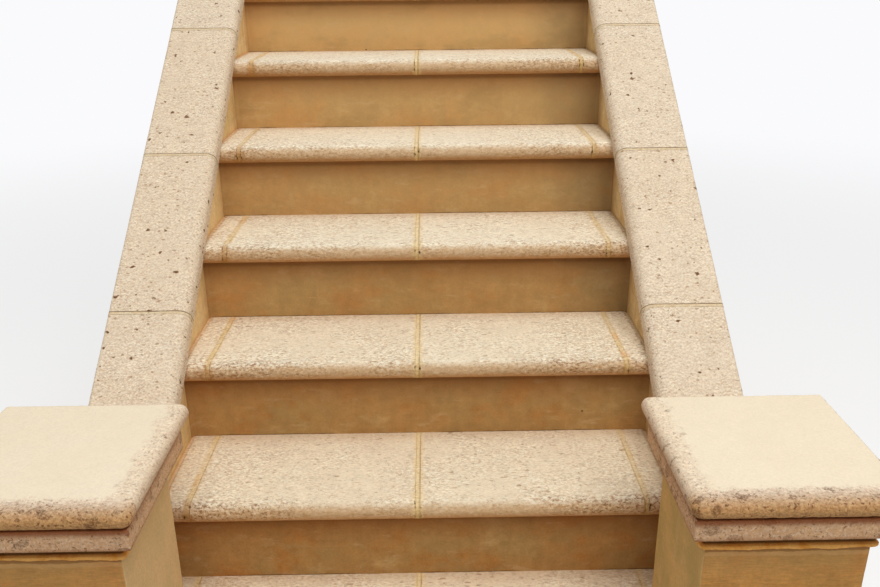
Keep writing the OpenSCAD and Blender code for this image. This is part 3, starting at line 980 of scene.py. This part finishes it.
def tread_bar(shell, i, side, near, far, section, gap, arris, tint=EVEN_TINT, proud=0.0):
    """A bar of tread i between two distances from the middle line; shade is the way to the riser behind."""
    line, edges = section
    into = inward(line)
    x0, x1 = sorted((side * near, side * far))
    y0, z0 = tread_y(i), i * RISE - SLAB_T
    rings = []
    for t in stops(x1 - x0, gap, arris):
        draw = eased(t, x1 - x0, arris) - proud
        rings.append([(x0 + t, y0 + y + n[0] * draw, z0 + z + n[1] * draw, e, NOSE + GOING - y)
                      for (y, z), n, e in zip(line, into, edges)])
    shell.loft(rings, tint)


def lay_treads():
    """Two long slabs in each tread and a short stone at each end, in the first tread behind the piers."""
    dice = random.Random(11)
    for i in range(1, STEPS + 1):
        shell = Shell()
        end_section = tread_section(BEHIND_PIER if i == 1 else 0.0)
        stones = ((JOINT / 2, JOINT / 2 + SLAB_LEN, tread_section()),
                  (FILLER_START, FILLER_END, end_section))
        for side in (-1, 1):
            for near, far, section in stones:
                tread_bar(shell, i, side, near, far, section, STONE_GAP, STONE_ARRIS, dice.random())
        piece = weathered(shell, f"tread_stones_{i}", TREAD_STONE, TREAD_WEAR)
        keep(piece, "tread_stone", f"tread_{i}")


def fill_tread_joints():
    """Beads between the stones and against the walls, washed a little over the stones beside them."""
    beside_slab = SLAB_LEN + JOINT / 2 - BEAD_BITE
    for i in range(1, STEPS + 1):
        shell = Shell()
        full = tread_section()
        rear = tread_section(BEHIND_PIER) if i == 1 else full
        beads = [(1, -JOINT / 2 - BEAD_BITE, JOINT / 2 + BEAD_BITE, full)]
        for side in (-1, 1):
            beads.append((side, beside_slab, FILLER_START + BEAD_BITE, rear))
            beads.append((side, FILLER_END - BEAD_BITE, WALL_X + BURY, rear))
            if i == 1:
                beads.append((side, beside_slab, PIER_X + BURY, full))
        for side, near, far, section in beads:
            tread_bar(shell, i, side, near, far, section, BEAD_GAP, BEAD_ARRIS, proud=BEAD_PROUD)
        piece = weathered(shell, f"tread_joint_mortar_{i}", JOINT_MORTAR, TREAD_WEAR)
        keep(piece, "mortar", "tread_mortar")


# Render of the risers, walls and piers

COVE = 0.011            # radius of the coves at the ends of a riser
COVE_TURNS = 5
RISER_UP_GAP = 0.006    # between the points of its face
RISER_ALONG_GAP = 0.007
RISER_REAR = 0.1        # edge and shade of its hidden rear
WALL_GAP = 0.012        # between the rings of a wall
WALL_INNER_ROWS = 90    # points up its inner face, down its outer face and across it
WALL_OUTER_ROWS = 60
WALL_ACROSS = 3
PIER_ARRIS = 0.006
PIER_GAP = 0.008        # between the rings of a pier
PIER_POINTS = (42, 40)
PIER_TAIL = 0.02        # how far a pier runs up into its mortar bed


def face_riser(i, half_width):
    """Render under a nose, with a small cove at each end, run a little into all that it meets.

    Edge is the way down from the nose, shade the way up from the foot.
    """
    lo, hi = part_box(f"riser_{i}")
    depth, tall = hi.y - lo.y, hi.z - lo.z
    foot = -BURY if i > 1 else 0.0
    heights = between(tall + BURY, foot, RISER_UP_GAP)
    coved = [half_width - COVE * k / COVE_TURNS for k in range(COVE_TURNS)]
    reach = half_width - COVE
    stations = [-half_width - BURY] + [-x for x in coved] + between(-reach, reach, RISER_ALONG_GAP)
    stations += coved[::-1] + [half_width + BURY]
    rings = []
    for x in stations:
        inside = clamp(half_width - abs(x), 0.0, COVE)
        out = COVE - math.sqrt(COVE * COVE - (COVE - inside) ** 2)
        rear = [(x, lo.y + depth, lo.z + z, RISER_REAR, RISER_REAR) for z in (foot, tall + BURY)]
        rings.append(rear + [(x, lo.y - out, lo.z + z, tall - z, z) for z in heights])
    shell = Shell()
    shell.loft(rings)
    return shell


def face_risers():
    """The first riser stands between the piers; those of steps 2 to 7 are one, repeated."""
    first = face_riser(1, PIER_X).piece("riser_render_1")
    rest = face_riser(2, WALL_X).piece("riser_render_2_to_7")
    run_nodes(rest, ROW, RISER_RENDER, count=STEPS - 1, along=GOING, up=RISE)
    for piece in (first, rest):
        run_nodes(piece, WEATHERING, RISER_RENDER, **RISER_WEAR)
    keep(first, "render", "riser_1")
    keep(rest, "render", *(f"riser_{i}" for i in range(2, STEPS + 1)))


def build_walls():
    """Cheek walls, up to the underside of the copings."""
    for name, side in SIDES.items():
        rings = []
        for y in between(PIER_BACK, REAR_Y, WALL_GAP):
            top = coping_z(y) - COPING_T / math.cos(PITCH)
            ring = [(WALL_X, z) for z in split(0.0, top, WALL_INNER_ROWS)]
            ring += [(x, top) for x in split(WALL_X, WALL_OUT, WALL_ACROSS)[1:]]
            ring += [(WALL_OUT, z) for z in split(top, 0.0, WALL_OUTER_ROWS)[1:]]
            ring += [(x, 0.0) for x in split(WALL_OUT, WALL_X, WALL_ACROSS)[1:-1]]
            rings.append(mirrored([(x, y, z) for x, z in ring], side))
        shell = Shell()
        shell.loft(rings)
        piece = weathered(shell, f"cheek_wall_render_{name}", WALL_RENDER, WALL_WEAR, side * 2.0)
        keep(piece, "render", f"cheek_wall_{name}")


def build_piers():
    """Square piers that run up into the mortar bed; edge is 1 on their inner and outer sides."""
    for name, side in SIDES.items():
        x0, x1, lo, hi = plan(f"pier_{name}")
        outline = ring_box(x0, x1, lo.y, hi.y, (PIER_ARRIS,) * 4, *PIER_POINTS)
        flat = [(x, y, 1.0 if min(x - x0, x1 - x) < PIER_ARRIS / 2 else 0.0) for x, y in outline]
        rings = []
        for z in between(lo.z, hi.z + PIER_TAIL, PIER_GAP):
            rings.append(mirrored([(x, y, z, on_side) for x, y, on_side in flat], side))
        shell = Shell()
        shell.loft(rings)
        piece = weathered(shell, f"pier_render_{name}", PIER_RENDER, PIER_WEAR, side * 5.0)
        keep(piece, "render", f"pier_{name}")


# Caps on the piers

# How far the mortar lip draws in, at parts of its height from the foot
LIP = ((0.0, 0.0060), (0.03, 0.0030), (0.07, 0.0012), (0.12, 0.0002), (0.18, 0.0), (0.30, 0.0),
       (0.35, 0.0010), (0.39, 0.0040), (0.43, 0.0072), (0.7, 0.0072), (1.0, 0.0072))
LIP_TURN = 0.39         # part of its height at which the shade starts
LIP_FADE = 0.04         # part of its height over which it grows
LIP_LOOSE = 2.5         # how fast the ragged foot evens out up its height
LIP_RADII = (0.010, 0.010, 0.002, 0.002)
LIP_POINTS = (80, 70)
RAGGED = 0.0035         # most that the foot of a lip strays
DRIFT, WANDER = 0.90, 0.0011    # how much of a stray carries on, and what is added at each point
CAP_ARRIS = 0.0025      # rounding along the edges of both slabs
SLAB_GAP = 0.003        # between the rings of the lower slab
SLAB_CORNER = 0.003
SLAB_POINTS = (72, 62)
SLAB_DARK, SLAB_FADE = 0.003, 0.014     # painted shadow, all dark over the top of it, then fading out
SLAB_FRONT = 0.004      # how deep its front reaches for the shade
SIDE_SHADE = 0.35       # shade on its other faces
ALL_ROUGH = -0.034      # edge of a slab that is rough all over
CAP_CORNER = 0.0015
CAP_POINTS = (72, 74, 10)
CAP_TURNS = 14          # rings round the edge of the upper slab
CAP_START = 0.0045      # from them to the first ring over its top
CAP_GAP = 0.0055        # between the rings there
CAP_MIDDLE = 0.012      # how near they come to its middle
CAP_RIM, RIM_EDGE = 0.002, -0.01        # depth and edge of its square faces
CAP_FRONT = 0.6         # where its front starts to fade, in radii of its edge


def ragged_line(dice, count):
    """Offsets that wander up and down like the foot of hand-laid mortar, by no more than RAGGED."""
    line, swing = [], 0.0
    for _ in range(count):
        swing = swing * DRIFT + dice.uniform(-WANDER, WANDER)
        line.append(clamp(swing, -RAGGED, RAGGED))
    return line


def bed_caps():
    """Mortar beds: a lip with a ragged foot, drawn in under the slab and darkened there by painted shade."""
    dice = random.Random(3)
    for name, side in SIDES.items():
        x0, x1, lo, hi = plan(f"cap_bed_{name}")
        tall = hi.z - lo.z
        outline = ring_box(x0, x1, lo.y, hi.y, LIP_RADII, *LIP_POINTS)
        ragged = ragged_line(dice, len(outline))
        into = inward(outline)
        rings = []
        for t, draw in LIP:
            shade = clamp((t - LIP_TURN) / LIP_FADE)
            loose = max(0.0, 1 - t * LIP_LOOSE)
            rings.append(mirrored([(x + n[0] * draw, y + n[1] * draw,
                                    lo.z + max(0.0, tall * t + (RAGGED + r) * loose), FAR, shade)
                                   for (x, y), n, r in zip(outline, into, ragged)], side))
        shell = Shell()
        shell.loft(rings)
        piece = weathered(shell, f"cap_bed_mortar_{name}", LIP_MORTAR, LIP_WEAR, side * 7.0)
        keep(piece, "mortar", f"cap_bed_{name}")


def lay_under_slab(name, side):
    """Lower slab, square-edged and rough; its painted shadow grows towards its top, most of all along its
    front.
    """
    x0, x1, lo, hi = plan(f"under_slab_{name}")
    tall = hi.z - lo.z
    rings = []
    for t in stops(tall, SLAB_GAP, CAP_ARRIS):
        draw = eased(t, tall, CAP_ARRIS)
        fall = clamp((tall - t - SLAB_DARK) / SLAB_FADE)
        shade = 1.0 - fall * fall * (3 - 2 * fall)
        outline = ring_box(x0 + draw, x1 - draw, lo.y + draw, hi.y - draw, (SLAB_CORNER,) * 4, *SLAB_POINTS)
        front = lo.y + SLAB_FRONT
        rings.append(mirrored([(x, y, lo.z + t, ALL_ROUGH, shade if y < front else shade * SIDE_SHADE)
                               for x, y in outline], side))
    shell = Shell()
    shell.loft(rings)
    piece = weathered(shell, f"under_slab_stone_{name}", LOWER_SLAB_STONE, SLAB_WEAR, side * 9.0)
    keep(piece, "cap_stone", f"under_slab_{name}")


def lay_cap_slab(name, side):
    """Upper slab: half-round along its front and inner edges, square along the other two."""
    x0, x1, lo, hi = plan(f"cap_slab_{name}")
    y0, y1 = lo.y, hi.y
    r = (hi.z - lo.z) / 2

    def ring(inset, z, top, pull):
        """Outline drawn in on the round edges by inset, on the square ones by pull; shade is 1 in front."""
        a = max(r - inset, CAP_CORNER)
        radii = (a,) + (CAP_CORNER,) * 3
        points = ring_box(x0 + inset, x1 - pull, y0 + inset, y1 - pull, radii, *CAP_POINTS)
        result = []
        for x, y in points:
            if top:
                edge = min(x - x0, y - y0) - r
            elif x > x1 - CAP_RIM or y > y1 - CAP_RIM:
                edge = RIM_EDGE
            else:
                edge = -r * math.acos(clamp((z - lo.z - r) / r, -1.0, 1.0))
            result.append((x, y, z, edge, clamp(1.0 - (y - y0 - CAP_FRONT * r) / (2 * r))))
        return mirrored(result, side)

    rings = []
    for k in range(CAP_TURNS + 1):
        turn = math.radians(-90 + 180 * k / CAP_TURNS)
        z = lo.z + r + r * math.sin(turn)
        rings.append(ring(r - r * math.cos(turn), z, False, eased(z - lo.z, 2 * r, CAP_ARRIS)))
    reach = min(x1 - x0, y1 - y0) / 2 - CAP_MIDDLE
    for inset in between(r + CAP_START, reach, CAP_GAP):
        rings.append(ring(inset, hi.z, True, inset - r))
    shell = Shell()
    shell.loft(rings)
    piece = weathered(shell, f"cap_slab_stone_{name}", CAP_STONE, CAP_WEAR, side * 11.0)
    keep(piece, "cap_stone", f"cap_slab_{name}")


# Copings, with the mortar in their joints

COPING_GAP = 0.005           # between the rings of a coping stone
COPING_END_ARRIS = 0.0016    # rounding of its ends
COPING_BITE = 0.0014         # how far the mortar is washed over the stones beside it
BED_GAP, BED_ARRIS = 0.003, 0.0004      # gap and rounding for the bed against the pier
HAIR_GAP, HAIR_ARRIS = 0.0014, 0.0003   # and for the beads between the stones
FOOT_STRIP = 0.011           # plain strip at the inner foot of the section
INNER_GAP = 0.0055           # between the points of the section: up its inner face
ROUND_GAP = 0.0032           # over its round inner edge
COPING_TOP_GAP = 0.005       # along its top
ARRIS_GAP = 0.0025           # over its outer arris
OUTER_GAP = 0.006            # down its outer face
COPING_BED_GAP = 0.04        # and where it is bedded


def coping_section():
    """Section of a coping stone as (x, depth over its top plane), from its inner foot over the top."""
    x0, x1 = COPING_IN, COPING_OUT
    r, a = COPING_R, COPING_ARRIS
    foot = -COPING_T
    return joined([(x0, foot), (x0, foot + FOOT_STRIP)],
                  [(x0, d) for d in between(foot + FOOT_STRIP, -r, INNER_GAP)],
                  arc(x0 + r, -r, r, 180, 90, ROUND_GAP),
                  [(x, 0.0) for x in between(x0 + r, x1 - a, COPING_TOP_GAP)],
                  arc(x1 - a, -a, a, 90, 0, ARRIS_GAP),
                  [(x1, d) for d in between(-a, foot, OUTER_GAP)],
                  [(x, foot) for x in between(x1, x0, COPING_BED_GAP)])


def on_slope(x, s, d):
    """The point at x, s up the slope from the back of the pier and d above the coping's top plane."""
    return (x, PIER_BACK + s * math.cos(PITCH) - d * math.sin(PITCH),
            coping_z(PIER_BACK) + s * math.sin(PITCH) + d * math.cos(PITCH))


def coping_bar(shell, side, s0, s1, gap, arris, tint=EVEN_TINT, proud=0.0, plumb=None, joint=False):
    """A length of coping from s0 to s1 up the slope, its foot or its head cut plumb if asked.

    On a joint, edge is the way to its upper end.
    """
    line = coping_section()
    into = inward(line)
    length = s1 - s0
    rings = []
    for t in stops(length, gap, arris):
        draw = eased(t, length, arris) - proud
        edge = length - t if joint else FAR
        ring = []
        for (x, d), n in zip(line, into):
            over = d + n[1] * draw
            lean = -over * math.tan(PITCH)
            begin = s0 - (lean if plumb == "foot" else 0.0)
            end = s1 - (lean if plumb == "head" else 0.0)
            ring.append(on_slope(x + n[0] * draw, begin + (end - begin) * t / length, over) + (edge,))
        rings.append(mirrored(ring, side))
    shell.loft(rings, tint)


def fill_coping_joints(name, side):
    """Mortar between the copings, one bead repeated, and a wider bed with a plumb foot against the pier."""
    bed = Shell()
    coping_bar(bed, side, 0.0, COPING_START + COPING_BITE, BED_GAP, BED_ARRIS, proud=BEAD_PROUD,
               plumb="foot", joint=True)
    foot = bed.piece(f"coping_foot_mortar_{name}")
    bead = Shell()
    s = COPING_START + COPING_STEP
    coping_bar(bead, side, s - COPING_JOINT - COPING_BITE, s + COPING_BITE, HAIR_GAP, HAIR_ARRIS,
               proud=BEAD_PROUD, joint=True)
    joints = bead.piece(f"coping_joint_mortar_{name}")
    run_nodes(joints, ROW, COPING_MORTAR, count=COPINGS - 1, along=COPING_STEP * math.cos(PITCH),
              up=COPING_STEP * math.sin(PITCH))
    for piece in (foot, joints):
        run_nodes(piece, WEATHERING, COPING_MORTAR, **COPING_WEAR)
        keep(piece, "mortar", f"coping_mortar_{name}")


def lay_copings():
    """Five stones up each wall, the topmost cut plumb at the head of the flight, and their mortar."""
    dice = random.Random(23)
    for name, side in SIDES.items():
        for k in range(1, COPINGS + 1):
            s0 = COPING_START + (k - 1) * COPING_STEP
            last = k == COPINGS
            s1 = SLOPE_LEN if last else s0 + COPING_STEP - COPING_JOINT
            shell = Shell()
            coping_bar(shell, side, s0, s1, COPING_GAP, COPING_END_ARRIS, dice.random(),
                       plumb="head" if last else None)
            piece = weathered(shell, f"coping_stone_{name}_{k}", COPING_STONE, COPING_WEAR)
            keep(piece, "coping_stone", f"coping_{name}_{k}")
        fill_coping_joints(name, side)


lay_treads()
fill_tread_joints()
face_risers()
build_walls()
build_piers()
bed_caps()
for name, side in SIDES.items():
    lay_under_slab(name, side)
    lay_cap_slab(name, side)
lay_copings()

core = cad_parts["stair_core"]
if core.material_slots:
    core.material_slots[0].material = CORE
else:
    core.data.materials.append(CORE)

# Floor, light and camera

BLACK = (0.0, 0.0, 0.0, 1.0)
SOFT_WHITE = srgb(250, 250, 252)
FLOOR_PALE = srgb(208, 207, 204)        # what the floor sends back to the object
FLOOR_SEEN = srgb(172, 172, 171)        # what the camera sees, with the glow added
FLOOR_GLOW = (0.56, 0.56, 0.56, 1.0)
FLOOR_REACH = 30.0
WHITE_FROM, WHITE_TO = 2.0, 7.0         # ways out from the object
SKY_LOW, SKY_HIGH = 0.20, 0.66          # strength at the horizon, and what is added overhead
LAMP_AT, LAMP_TO = (0.9, -2.6, 5.5), (0.0, 0.0, 0.6)
LAMP_WIDTH, LAMP_POWER = 4.5, 180.0
SENSOR, LENS = 36.0, 34.85
NEAREST, FARTHEST = 0.05, 200.0
CAMERA_AT = (0.0377, -2.2560, 1.5288)
CAMERA_TURN, CAMERA_TILT, CAMERA_ROLL = 0.0102, 0.3675, -0.0100


def lay_floor():
    """A plain pale floor that goes white further out; what the camera sees of it has a colour of its own."""
    s = FLOOR_REACH
    mesh = bpy.data.meshes.new("floor")
    mesh.from_pydata([(-s, -s, 0), (s, -s, 0), (s, s, 0), (-s, s, 0)], [], [(0, 1, 2, 3)])
    floor = bpy.data.objects.new("floor", mesh)
    bpy.context.scene.collection.objects.link(floor)
    f = Finish("pale_floor")
    seen = f.node("ShaderNodeLightPath", None, None, "Is Camera Ray")
    far = f.step(f.sum("SQRT", f.x * f.x + f.y * f.y), WHITE_FROM, WHITE_TO)
    shown = f.mix(far, FLOOR_SEEN, BLACK)
    mesh.materials.append(f.finish(f.mix(seen, FLOOR_PALE, shown), 0.9, specular=0.0))
    glow = f.mix(seen, BLACK, f.mix(far, FLOOR_GLOW, SOFT_WHITE))
    shader = f.tree.nodes["Principled BSDF"]
    f.tree.links.new(glow.socket, shader.inputs["Emission Color"])
    shader.inputs["Emission Strength"].default_value = 1.0


def hang_lamp():
    """A broad soft lamp, high in front and a little to the right."""
    lamp = bpy.data.lights.new("soft_top", "AREA")
    lamp.shape = "DISK"
    lamp.size = LAMP_WIDTH
    lamp.energy = LAMP_POWER
    made = bpy.data.objects.new("soft_top", lamp)
    made.location = LAMP_AT
    made.rotation_euler = (Vector(LAMP_TO) - Vector(LAMP_AT)).to_track_quat("-Z", "Y").to_euler()
    bpy.context.scene.collection.objects.link(made)


def set_sky():
    """Soft sky, brighter overhead than at the horizon; white where the camera looks into it."""
    world = bpy.data.worlds.new("soft_sky")
    world.use_nodes = True
    tree = world.node_tree
    tree.nodes.clear()
    g = Graph(tree)
    seen = g.node("ShaderNodeLightPath", None, None, "Is Camera Ray")
    way = g.node("ShaderNodeTexCoord", None, None, "Generated")
    up = g.sum("MAXIMUM", g.node("ShaderNodeSeparateXYZ", None, {0: way}, "Z"), 0.0)
    level = up * up * SKY_HIGH + SKY_LOW
    sky = g.node("ShaderNodeBackground", None,
                 {"Color": SOFT_WHITE, "Strength": seen * (1.0 - level) + level}, "Background")
    g.node("ShaderNodeOutputWorld", None, {"Surface": sky}, None)
    bpy.context.scene.world = world


def set_camera():
    """The photograph's camera; its place and angles follow from the lines of the treads and copings."""
    lens = bpy.data.cameras.new("camera")
    lens.sensor_width = SENSOR
    lens.lens = LENS
    lens.clip_start = NEAREST
    lens.clip_end = FARTHEST
    camera = bpy.data.objects.new("camera", lens)
    camera.matrix_world = (Matrix.Translation(CAMERA_AT) @ Matrix.Rotation(-CAMERA_TURN, 4, "Z")
                           @ Matrix.Rotation(math.pi / 2 - CAMERA_TILT, 4, "X")
                           @ Matrix.Rotation(CAMERA_ROLL, 4, "Z"))
    bpy.context.scene.collection.objects.link(camera)
    bpy.context.scene.camera = camera


lay_floor()
set_sky()
hang_lamp()
set_camera()
bpy.context.scene.view_settings.view_transform = "Standard"
